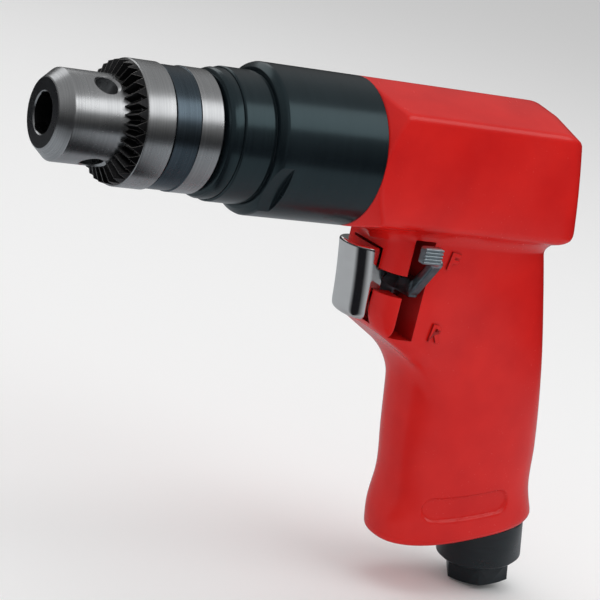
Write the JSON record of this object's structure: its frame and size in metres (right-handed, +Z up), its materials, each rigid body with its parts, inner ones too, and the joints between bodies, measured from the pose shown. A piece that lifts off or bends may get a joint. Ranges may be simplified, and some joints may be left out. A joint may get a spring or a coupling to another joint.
{
  "type": "pneumatic drill",
  "caption": "Pistol-grip reversible air drill with a keyed three-jaw chuck, black gear case, red cast housing, trigger, reverse lever and swivelling exhaust deflector.",
  "frame": {"origin": "centre of the chuck's mouth, on the spindle's axis", "axes": "+X along the spindle to the back of the tool, +Z up, grip hanging down -Z, reverse lever on the -Y side"},
  "size_m": [0.1972, 0.048, 0.1577],
  "materials": {
    "red_paint": "gloss enamel on cast metal",
    "black_case": "black oxide, smooth turned, oiled",
    "ground_steel": "ground and turned steel, with black oxide in the recesses",
    "dark_steel": "hardened, oil-blackened",
    "bright_steel": "machined",
    "bearing_steel": "polished",
    "cast_plate": "machined cast iron",
    "seal_rubber": "matt",
    "chrome_plate": "chrome over pressed steel",
    "zinc_plate": "zinc plated",
    "brass_seat": "turned",
    "black_fitting": "black oxide, satin",
    "white_felt": "felt",
    "vane_laminate": "phenolic laminate"
  },
  "bodies": {
    "housing": {"housing": "red_paint", "gear_case": "black_case", "front_cap": "black_case", "front_seal": "seal_rubber", "ring_gear": "dark_steel", "motor_spacer": "bright_steel", "motor_front_plate": "cast_plate", "motor_cylinder": "cast_plate", "motor_rear_plate": "cast_plate", "motor_dowel": "bright_steel", "rear_washer": "bright_steel", "throttle_seat": "brass_seat", "inlet_bushing": "black_fitting", "inlet_screen": "brass_seat", "muffler_felt": "white_felt", "valve_spring": "bright_steel", "carrier_bearing_outer": "bearing_steel", "front_bearing_outer": "bearing_steel", "rotor_front_bearing_outer": "bearing_steel", "rotor_rear_bearing_outer": "bearing_steel"},
    "spindle": {"spindle": "bright_steel", "chuck_body": "ground_steel", "chuck_screw": "dark_steel", "planet_pin_1": "bright_steel", "planet_pin_2": "bright_steel", "planet_pin_3": "bright_steel", "front_bearing_inner": "bearing_steel", "carrier_bearing_inner": "bearing_steel"},
    "sleeve": {"chuck_sleeve": "ground_steel", "split_nut_1": "dark_steel", "split_nut_2": "dark_steel"},
    "rotor": {"rotor": "bright_steel", "rotor_front_bearing_inner": "bearing_steel", "rotor_rear_bearing_inner": "bearing_steel", "vane_1": "vane_laminate", "vane_2": "vane_laminate", "vane_3": "vane_laminate", "vane_4": "vane_laminate", "vane_5": "vane_laminate"},
    "trigger": {"trigger": "chrome_plate", "throttle_stem": "bright_steel"},
    "reverse_lever": {"reverse_lever": "zinc_plate", "reverse_valve": "dark_steel"},
    "deflector": {"exhaust_deflector": "black_fitting"},
    "jaw_1": {"jaw_1": "dark_steel"},
    "planet_1": {"planet_gear_1": "bright_steel"},
    "jaw_2": {"jaw_2": "dark_steel"},
    "planet_2": {"planet_gear_2": "bright_steel"},
    "jaw_3": {"jaw_3": "dark_steel"},
    "planet_3": {"planet_gear_3": "bright_steel"},
    "front_bearing_balls": {"front_bearing_balls": "bearing_steel"},
    "carrier_bearing_balls": {"carrier_bearing_balls": "bearing_steel"},
    "rotor_front_bearing_balls": {"rotor_front_bearing_balls": "bearing_steel"},
    "rotor_rear_bearing_balls": {"rotor_rear_bearing_balls": "bearing_steel"}
  },
  "joints": [
    {"name": "chuck_spin", "type": "hinge", "parent": "housing", "child": "spindle", "pos_m": [0, 0, 0], "axis": [1, 0, 0], "continuous": true},
    {"name": "rotor_spin", "type": "hinge", "parent": "housing", "child": "rotor", "pos_m": [0.12, 0, 0], "axis": [1, 0, 0], "continuous": true},
    {"name": "sleeve_turn", "type": "hinge", "parent": "spindle", "child": "sleeve", "pos_m": [0.025, 0, 0], "axis": [1, 0, 0], "range_deg": [0, 4320]},
    {"name": "trigger_pull", "type": "slide", "parent": "housing", "child": "trigger", "axis": [1, 0, 0], "range_m": [0, 0.004], "stiffness_N_per_m": 1500, "springref_m": -0.005, "deforming": ["valve_spring"]},
    {"name": "reverse_turn", "type": "hinge", "parent": "housing", "child": "reverse_lever", "pos_m": [0.122, 0, -0.0355], "axis": [1, 0, 0], "range_deg": [0, 47]},
    {"name": "deflector_turn", "type": "hinge", "parent": "housing", "child": "deflector", "pos_m": [0.18258, 0, -0.1199], "axis": [0.2047, 0, -0.9788], "continuous": true},
    {"name": "jaw_1_slide", "type": "slide", "parent": "spindle", "child": "jaw_1", "axis": [-0.9636, -0.1336, -0.2314], "range_m": [0, 0.0165]},
    {"name": "jaw_2_slide", "type": "slide", "parent": "spindle", "child": "jaw_2", "axis": [-0.9636, 0.2672, 0], "range_m": [0, 0.0165]},
    {"name": "jaw_3_slide", "type": "slide", "parent": "spindle", "child": "jaw_3", "axis": [-0.9636, -0.1336, 0.2314], "range_m": [0, 0.0165]},
    {"name": "planet_1_spin", "type": "hinge", "parent": "spindle", "child": "planet_1", "pos_m": [0.083, 0, 0.00945], "axis": [1, 0, 0], "continuous": true},
    {"name": "planet_2_spin", "type": "hinge", "parent": "spindle", "child": "planet_2", "pos_m": [0.083, -0.00818, -0.00473], "axis": [1, 0, 0], "continuous": true},
    {"name": "planet_3_spin", "type": "hinge", "parent": "spindle", "child": "planet_3", "pos_m": [0.083, 0.00818, -0.00473], "axis": [1, 0, 0], "continuous": true},
    {"name": "front_bearing_roll", "type": "hinge", "parent": "housing", "child": "front_bearing_balls", "pos_m": [0.06, 0, 0], "axis": [1, 0, 0], "continuous": true},
    {"name": "carrier_bearing_roll", "type": "hinge", "parent": "housing", "child": "carrier_bearing_balls", "pos_m": [0.06, 0, 0], "axis": [1, 0, 0], "continuous": true},
    {"name": "rotor_front_bearing_roll", "type": "hinge", "parent": "housing", "child": "rotor_front_bearing_balls", "pos_m": [0.06, 0, 0], "axis": [1, 0, 0], "continuous": true},
    {"name": "rotor_rear_bearing_roll", "type": "hinge", "parent": "housing", "child": "rotor_rear_bearing_balls", "pos_m": [0.06, 0, 0], "axis": [1, 0, 0], "continuous": true}
  ],
  "couplings": [
    {"joint": "rotor_spin", "follows": "chuck_spin", "ratio": 6},
    {"joint": "jaw_1_slide", "follows": "sleeve_turn", "m_per_rad": 0.00021751},
    {"joint": "jaw_2_slide", "follows": "sleeve_turn", "m_per_rad": 0.00021751},
    {"joint": "jaw_3_slide", "follows": "sleeve_turn", "m_per_rad": 0.00021751},
    {"joint": "planet_1_spin", "follows": "chuck_spin", "ratio": -2.5},
    {"joint": "planet_2_spin", "follows": "chuck_spin", "ratio": -2.5},
    {"joint": "planet_3_spin", "follows": "chuck_spin", "ratio": -2.5},
    {"joint": "front_bearing_roll", "follows": "chuck_spin", "ratio": 0.385},
    {"joint": "carrier_bearing_roll", "follows": "chuck_spin", "ratio": 0.41163},
    {"joint": "rotor_front_bearing_roll", "follows": "chuck_spin", "ratio": 2.24},
    {"joint": "rotor_rear_bearing_roll", "follows": "chuck_spin", "ratio": 2.184}
  ]
}
